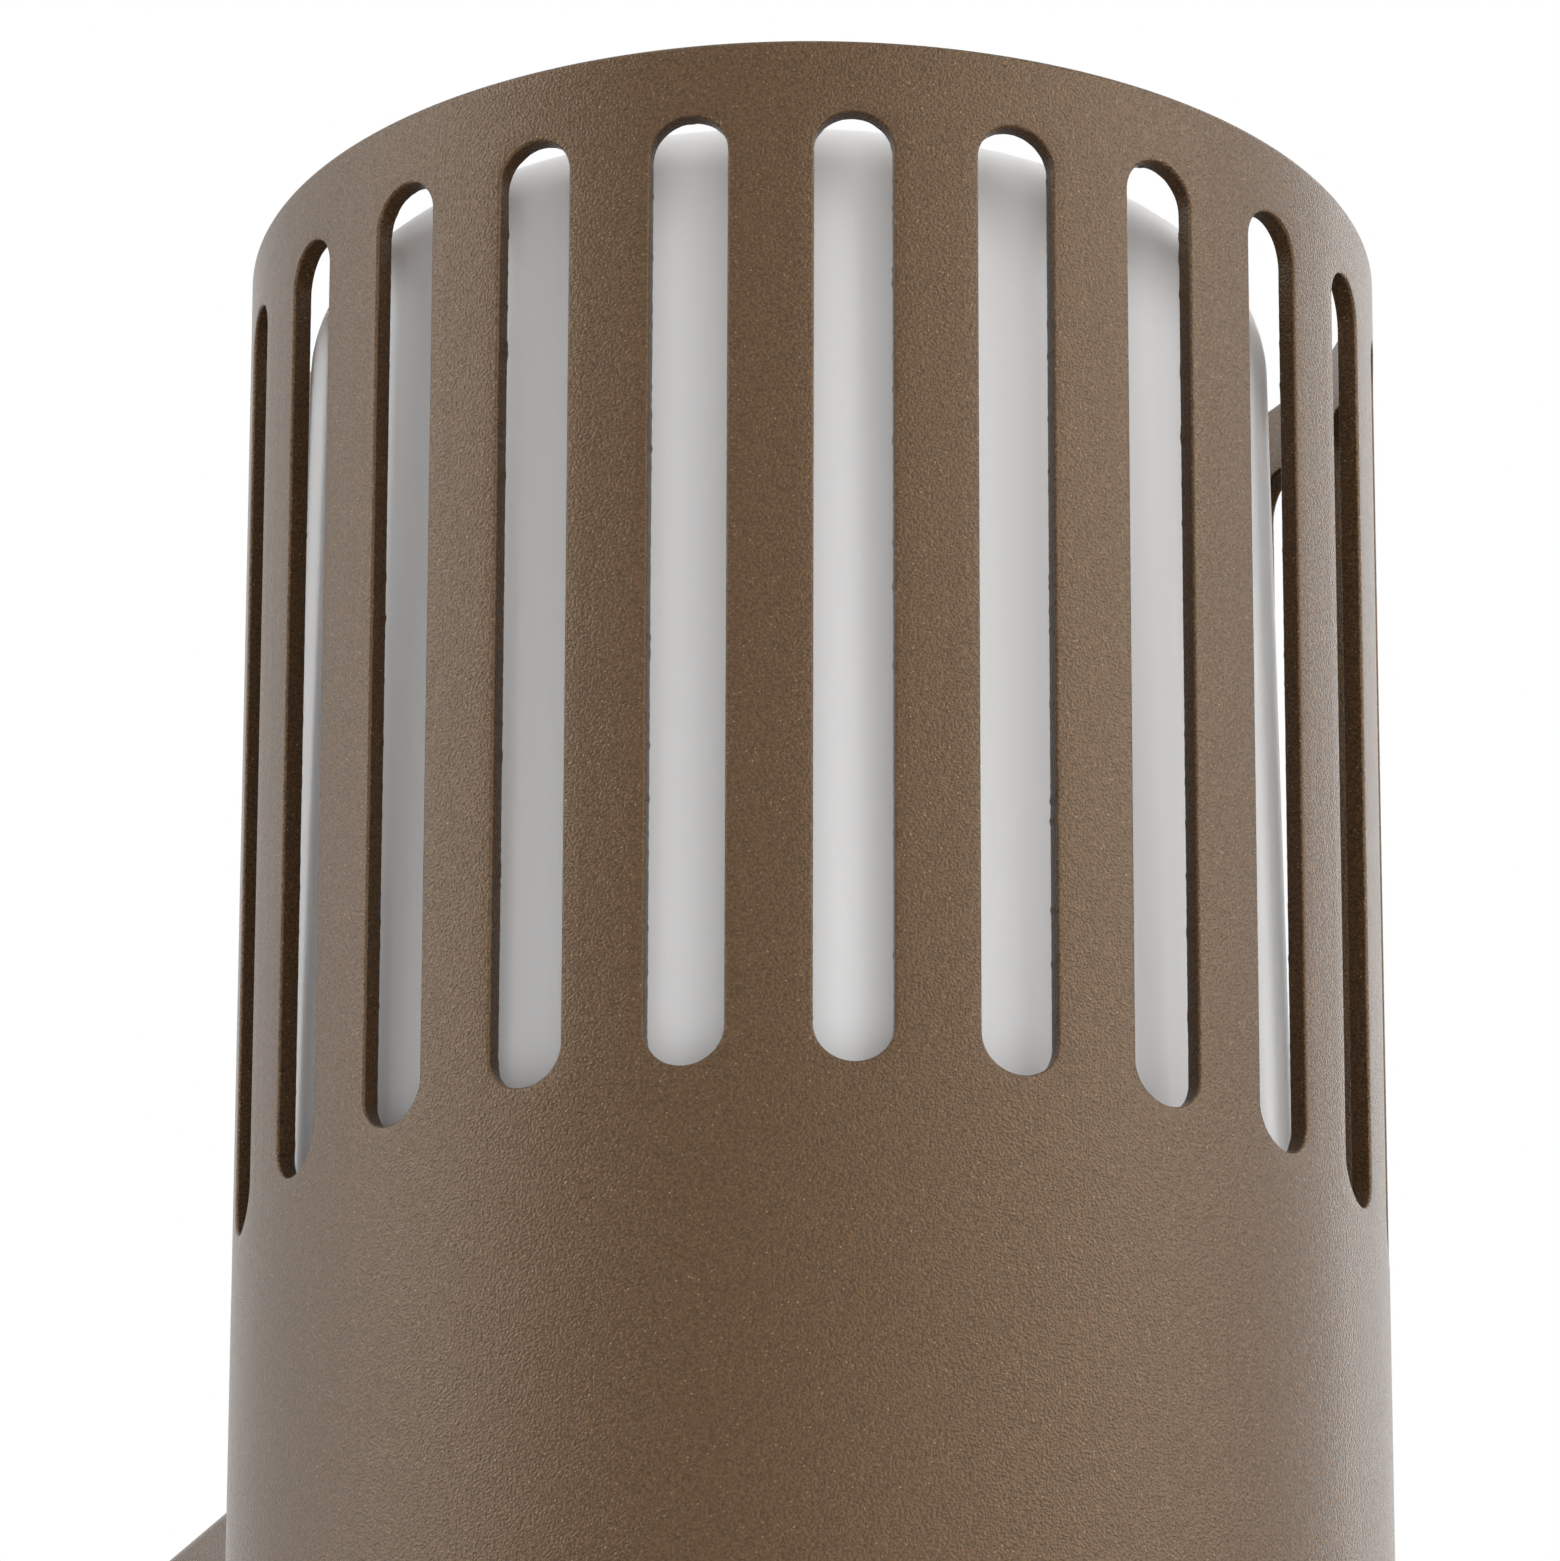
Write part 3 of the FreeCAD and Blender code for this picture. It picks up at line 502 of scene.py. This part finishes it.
# Materials
coat_brown = (0.08, 0.0406, 0.0174)
# Sand of the coat: partly its own tone, partly painted shade in the hollows and painted light on the crests
coat_hollow_tone_and_shade = (0.047, 0.0238, 0.0102)
coat_crest_tone_and_light = (0.113, 0.0574, 0.0245)
# Pale flecks: the coat's metal flakes, with their glint painted into the colour
coat_flake_and_glint = (0.3, 0.21, 0.12)
coat_sheen = (1.0, 0.81, 0.6, 1.0)
sand_size = 0.26
flake_and_glint_size = 0.26
insulation_green = (0.05, 0.22, 0.04)
insulation_yellow = (0.75, 0.6, 0.05)
stripe_size = 9.0


def principled(name, colour, roughness, metallic=0.0):
    """New material with a Principled shader: the material, its tree and the shader."""
    made = bpy.data.materials.new(name)
    made.use_nodes = True
    shader = made.node_tree.nodes["Principled BSDF"]
    shader.inputs["Base Color"].default_value = (*colour, 1.0)
    shader.inputs["Roughness"].default_value = roughness
    shader.inputs["Metallic"].default_value = metallic
    return made, made.node_tree, shader


def add(tree, kind, **settings):
    """New node with its settings, each an input or a property."""
    node = tree.nodes.new(kind)
    for key, value in settings.items():
        if key in node.inputs:
            node.inputs[key].default_value = value
        else:
            setattr(node, key, value)
    return node


def grain(tree, size, detail=2.0):
    """Noise in object space whose lumps are about size millimetres across."""
    place = add(tree, "ShaderNodeTexCoord")
    node = add(tree, "ShaderNodeTexNoise", Scale=1 / (size * MM), Detail=detail)
    tree.links.new(place.outputs["Object"], node.inputs["Vector"])
    return node


def cells(tree, size):
    """Cells in object space, about size millimetres across."""
    place = add(tree, "ShaderNodeTexCoord")
    node = add(tree, "ShaderNodeTexVoronoi", Scale=1 / (size * MM))
    tree.links.new(place.outputs["Object"], node.inputs["Vector"])
    return node


def ramp(tree, factor, stops):
    """Colour ramp over a factor, each stop a position and a colour."""
    node = add(tree, "ShaderNodeValToRGB")
    row = node.color_ramp.elements
    while len(row) < len(stops):
        row.new(1.0)
    for element, (position, colour) in zip(row, stops):
        element.position = position
        element.color = (*colour, 1.0)
    tree.links.new(factor, node.inputs["Fac"])
    return node


def grey(level):
    """Colour without a hue."""
    return level, level, level


def relief(tree, shader, height, strength, depth):
    """Bump from a height, depth in millimetres."""
    node = add(tree, "ShaderNodeBump", Strength=strength, Distance=depth * MM)
    tree.links.new(height, node.inputs["Height"])
    tree.links.new(node.outputs["Normal"], shader.inputs["Normal"])


def powder_coat(name, painted_shade=1.0, gloss=0.5):
    """Coffee-brown powder coat: a fine sandy skin, darker in its hollows with painted shade and lighter on its
    crests with painted light, and small pale flecks that paint the glint of its metal flakes; a shade below 1
    darkens it all as a copy in painted shade.
    """
    made, tree, shader = principled(name, coat_brown, 0.25)
    shader.inputs["Specular IOR Level"].default_value = gloss
    shader.inputs["Specular Tint"].default_value = coat_sheen
    sand = grain(tree, sand_size, 2.0)
    hollow_tone_and_shade = tuple(painted_shade * c for c in coat_hollow_tone_and_shade)
    crest_tone_and_light = tuple(painted_shade * c for c in coat_crest_tone_and_light)
    # Sand tone: darker hollows are partly painted shade, lighter crests partly painted light
    tint = ramp(tree, sand.outputs["Fac"], [(0.35, hollow_tone_and_shade), (0.65, crest_tone_and_light)])
    # Pale flecks: the coat's metal flakes, their glint painted as a bright base colour
    flakes = cells(tree, flake_and_glint_size)
    chance = add(tree, "ShaderNodeSeparateColor")
    tree.links.new(flakes.outputs["Color"], chance.inputs["Color"])
    chosen = ramp(tree, chance.outputs["Red"], [(0.945, grey(0.0)), (0.985, grey(1.0))])
    body = ramp(tree, flakes.outputs["Distance"], [(0.15, grey(1.0)), (0.42, grey(0.0))])
    flake_and_glint = add(tree, "ShaderNodeMath", operation="MULTIPLY")
    tree.links.new(chosen.outputs["Color"], flake_and_glint.inputs[0])
    tree.links.new(body.outputs["Color"], flake_and_glint.inputs[1])
    mixed = add(tree, "ShaderNodeMix", data_type="RGBA")
    tree.links.new(flake_and_glint.outputs["Value"], mixed.inputs["Factor"])
    tree.links.new(tint.outputs["Color"], mixed.inputs[6])
    mixed.inputs[7].default_value = tuple(painted_shade * c for c in coat_flake_and_glint) + (1.0,)
    tree.links.new(mixed.outputs[2], shader.inputs["Base Color"])
    relief(tree, shader, sand.outputs["Fac"], 1.0, 0.15)
    return made


def opal(name, colour, roughness):
    """Satin opal plastic: light scatters a little way into its skin."""
    made, tree, shader = principled(name, colour, roughness)
    shader.inputs["Subsurface Weight"].default_value = 1.0
    shader.inputs["Subsurface Radius"].default_value = (1.0, 0.95, 0.92)
    shader.inputs["Subsurface Scale"].default_value = 0.5 * MM
    cloud = grain(tree, 9.0, 2.0)
    low = tuple(0.975 * c for c in colour)
    tint = ramp(tree, cloud.outputs["Fac"], [(0.3, low), (0.7, colour)])
    tree.links.new(tint.outputs["Color"], shader.inputs["Base Color"])
    skin = grain(tree, 0.8, 2.0)
    relief(tree, shader, skin.outputs["Fac"], 0.15, 0.02)
    return made


def metal(name, dark, light, roughness, size, strength):
    """Bare metal with a fine uneven grain."""
    made, tree, shader = principled(name, light, roughness, 1.0)
    lumps = grain(tree, size, 4.0)
    tint = ramp(tree, lumps.outputs["Fac"], [(0.3, dark), (0.7, light)])
    tree.links.new(tint.outputs["Color"], shader.inputs["Base Color"])
    gloss = ramp(tree, lumps.outputs["Fac"], [(0.3, grey(roughness * 1.25)), (0.7, grey(roughness * 0.85))])
    tree.links.new(gloss.outputs["Color"], shader.inputs["Roughness"])
    relief(tree, shader, lumps.outputs["Fac"], strength, 0.08)
    return made


def moulded(name, dark, light, roughness, size, strength):
    """Moulded plastic or rubber with a faint grain."""
    made, tree, shader = principled(name, light, roughness)
    lumps = grain(tree, size, 3.0)
    tint = ramp(tree, lumps.outputs["Fac"], [(0.3, dark), (0.7, light)])
    tree.links.new(tint.outputs["Color"], shader.inputs["Base Color"])
    relief(tree, shader, lumps.outputs["Fac"], strength, 0.05)
    return made


def striped_insulation():
    """Green insulation with yellow stripes."""
    made, tree, shader = principled("earth_insulation", insulation_green, 0.4)
    place = add(tree, "ShaderNodeTexCoord")
    bands = add(tree, "ShaderNodeTexWave", Scale=1 / (stripe_size * MM), Distortion=0.6)
    tree.links.new(place.outputs["Object"], bands.inputs["Vector"])
    tint = ramp(tree, bands.outputs["Fac"], [(0.45, insulation_green), (0.55, insulation_yellow)])
    tree.links.new(tint.outputs["Color"], shader.inputs["Base Color"])
    return made


materials = {
    "brown_powder_coat": powder_coat("powder_coat"),
    "opal_plastic": opal("opal_plastic", (0.985, 0.98, 0.975), 0.38),
    "cast_aluminium": metal("cast_aluminium", (0.36, 0.36, 0.37), (0.58, 0.58, 0.59), 0.48, 0.9, 0.5),
    "black_rubber": moulded("black_rubber", (0.012, 0.012, 0.013), (0.026, 0.026, 0.027), 0.72, 0.8, 0.4),
    "white_thermoset": moulded("white_thermoset", (0.66, 0.65, 0.62), (0.76, 0.75, 0.72), 0.36, 1.2, 0.12),
    "nickel_plate": metal("nickel_plate", (0.56, 0.54, 0.5), (0.68, 0.66, 0.62), 0.22, 3.0, 0.06),
    "brass_contact": metal("brass_contact", (0.5, 0.35, 0.13), (0.68, 0.5, 0.21), 0.28, 2.0, 0.08),
    "steel_screw": metal("steel_screw", (0.42, 0.42, 0.43), (0.56, 0.56, 0.57), 0.3, 1.0, 0.12),
    "zinc_steel": metal("zinc_steel", (0.46, 0.47, 0.49), (0.6, 0.61, 0.62), 0.36, 4.0, 0.1),
    "black_glass": moulded("black_glass", (0.01, 0.01, 0.012), (0.02, 0.02, 0.022), 0.08, 4.0, 0.05),
    "bulb_white": moulded("bulb_white", (0.74, 0.74, 0.73), (0.8, 0.8, 0.79), 0.3, 2.0, 0.06),
    "bulb_opal": opal("bulb_opal", (0.86, 0.86, 0.85), 0.3),
    "terminal_polyamide": moulded("terminal_polyamide", (0.6, 0.59, 0.54), (0.7, 0.69, 0.64),
                                  0.42, 1.0, 0.12),
    "lead_brown": moulded("lead_brown", (0.085, 0.04, 0.02), (0.13, 0.062, 0.032), 0.4, 1.5, 0.1),
    "lead_blue": moulded("lead_blue", (0.02, 0.08, 0.3), (0.03, 0.12, 0.42), 0.4, 1.5, 0.1),
    "lead_green_yellow": striped_insulation(),
}


def dress_nodes():
    """Every node of the construction gets the material of its slot."""
    for name, slot in slots.items():
        node = frame["nodes"][name]
        node.data.materials.clear()
        node.data.materials.append(materials[slot])


# Studio, in metres. Each lamp: azimuth and elevation in degrees, distance, width, height, and power in watts
ambient_level = 0.36
floor_height = -1.3
floor_half = 6.0
lamps = {
    "back_left": (-125, 25, 1.3, 0.45, 1.0, 1.7),
    "left": (-100, 25, 1.3, 0.45, 1.0, 5.8),
    "front": (10, 25, 1.3, 0.45, 1.0, 4.2),
    "front_right": (33, 25, 1.3, 0.45, 1.0, 2.8),
    "right": (60, 25, 1.3, 0.45, 1.0, 6.6),
    "back_right": (122, 25, 1.3, 0.45, 1.0, 2.2),
    "high_left": (-105, 55, 1.3, 1.2, 1.2, 1.0),
    "low_front": (-20, -26, 1.3, 0.9, 0.9, 6.3),
}


def soft_box(name, azimuth, elevation, distance, width, height, power):
    """Area light aimed at the slots, azimuth from the light's front towards +X."""
    lamp = bpy.data.lights.new(name, "AREA")
    lamp.shape = "RECTANGLE"
    lamp.size = width
    lamp.size_y = height
    lamp.energy = power
    made = bpy.data.objects.new(name, lamp)
    bpy.context.scene.collection.objects.link(made)
    turn = math.radians(azimuth)
    rise = math.radians(elevation)
    aim = Vector((math.sin(turn) * math.cos(rise), -math.cos(turn) * math.cos(rise), math.sin(rise)))
    target = Vector((axis_x, axis_y, slot_high - slot_length / 2)) * MM
    made.location = target + aim * distance
    made.rotation_euler = aim.to_track_quat("Z", "Y").to_euler()
    made.visible_camera = False


def studio_world(ambient):
    """White where the camera, gloss or glass looks at it, and a plain soft level for the rest."""
    world = bpy.data.worlds.new("studio")
    bpy.context.scene.world = world
    world.use_nodes = True
    tree = world.node_tree
    tree.nodes.clear()
    path = add(tree, "ShaderNodeLightPath")
    gloss = add(tree, "ShaderNodeMath", operation="MAXIMUM")
    seen = add(tree, "ShaderNodeMath", operation="MAXIMUM")
    soft = add(tree, "ShaderNodeBackground", Strength=ambient)
    white = add(tree, "ShaderNodeBackground", Strength=1.0)
    white.inputs["Color"].default_value = (1.0, 1.0, 1.0, 1.0)
    soft.inputs["Color"].default_value = (1.0, 1.0, 1.0, 1.0)
    mix = add(tree, "ShaderNodeMixShader")
    out = add(tree, "ShaderNodeOutputWorld")
    tree.links.new(path.outputs["Is Glossy Ray"], gloss.inputs[0])
    tree.links.new(path.outputs["Is Transmission Ray"], gloss.inputs[1])
    tree.links.new(path.outputs["Is Camera Ray"], seen.inputs[0])
    tree.links.new(gloss.outputs["Value"], seen.inputs[1])
    tree.links.new(seen.outputs["Value"], mix.inputs["Fac"])
    tree.links.new(soft.outputs["Background"], mix.inputs[1])
    tree.links.new(white.outputs["Background"], mix.inputs[2])
    tree.links.new(mix.outputs["Shader"], out.inputs["Surface"])


def pale_floor():
    """Plain floor well below the light, out of the main view."""
    mesh = bpy.data.meshes.new("floor")
    shell = bmesh.new()
    bmesh.ops.create_grid(shell, x_segments=4, y_segments=4, size=floor_half)
    shell.to_mesh(mesh)
    shell.free()
    made = bpy.data.objects.new("floor", mesh)
    made.location = (0.0, 0.0, floor_height)
    bpy.context.scene.collection.objects.link(made)
    floor, tree, shader = principled("floor_paint", (0.8, 0.8, 0.8), 0.8)
    patch = grain(tree, 400.0, 2.0)
    tint = ramp(tree, patch.outputs["Fac"], [(0.3, grey(0.78)), (0.7, grey(0.82))])
    tree.links.new(tint.outputs["Color"], shader.inputs["Base Color"])
    mesh.materials.append(floor)


def photo_camera():
    """Camera at the photograph's place: its axes from pitch, yaw and roll, turned round the tube's axis."""
    forward = Vector((math.sin(camera_yaw) * math.cos(camera_pitch),
                      math.cos(camera_yaw) * math.cos(camera_pitch), math.sin(camera_pitch)))
    right = Vector((math.cos(camera_yaw), -math.sin(camera_yaw), 0.0))
    up = right.cross(forward)
    tilted_right = math.cos(camera_roll) * right + math.sin(camera_roll) * up
    tilted_up = math.cos(camera_roll) * up - math.sin(camera_roll) * right
    turn = Matrix.Rotation(camera_turn, 3, "Z")
    axes = Matrix((turn @ tilted_right, turn @ tilted_up, turn @ -forward)).transposed()
    axis = Vector((axis_x, axis_y, tube_high.z))
    place = axis + turn @ Vector((0.0, -camera_distance, 0.0)) + Vector((0.0, 0.0, -camera_drop))
    lens = bpy.data.cameras.new("camera")
    lens.sensor_fit = "HORIZONTAL"
    lens.sensor_width = 36.0
    lens.lens = focal_pixels / photo_width * lens.sensor_width
    lens.clip_start = 0.05
    made = bpy.data.objects.new("camera", lens)
    bpy.context.scene.collection.objects.link(made)
    made.matrix_world = Matrix.Translation(place * MM) @ axes.to_4x4()
    bpy.context.scene.camera = made


photo_camera()
dress_nodes()
tube = slotted_tube()
# The slots' walls take a darker copy of the coat with less gloss: painted shade inside the slots
tube.data.materials.append(powder_coat("slot_coat_painted_shade", painted_shade=0.6, gloss=0.15))
diffuser_cup()
all_screws()
threaded_sleeve("bulb_cap", wall=0.6, depth=0.45, inner_depth=0.0)
threaded_sleeve("lampholder_shell", wall=0.5, depth=0.6, inner_depth=0.6)
studio_world(ambient_level)
pale_floor()
for name, settings in lamps.items():
    soft_box(name, *settings)
bpy.context.scene.view_settings.view_transform = "Standard"
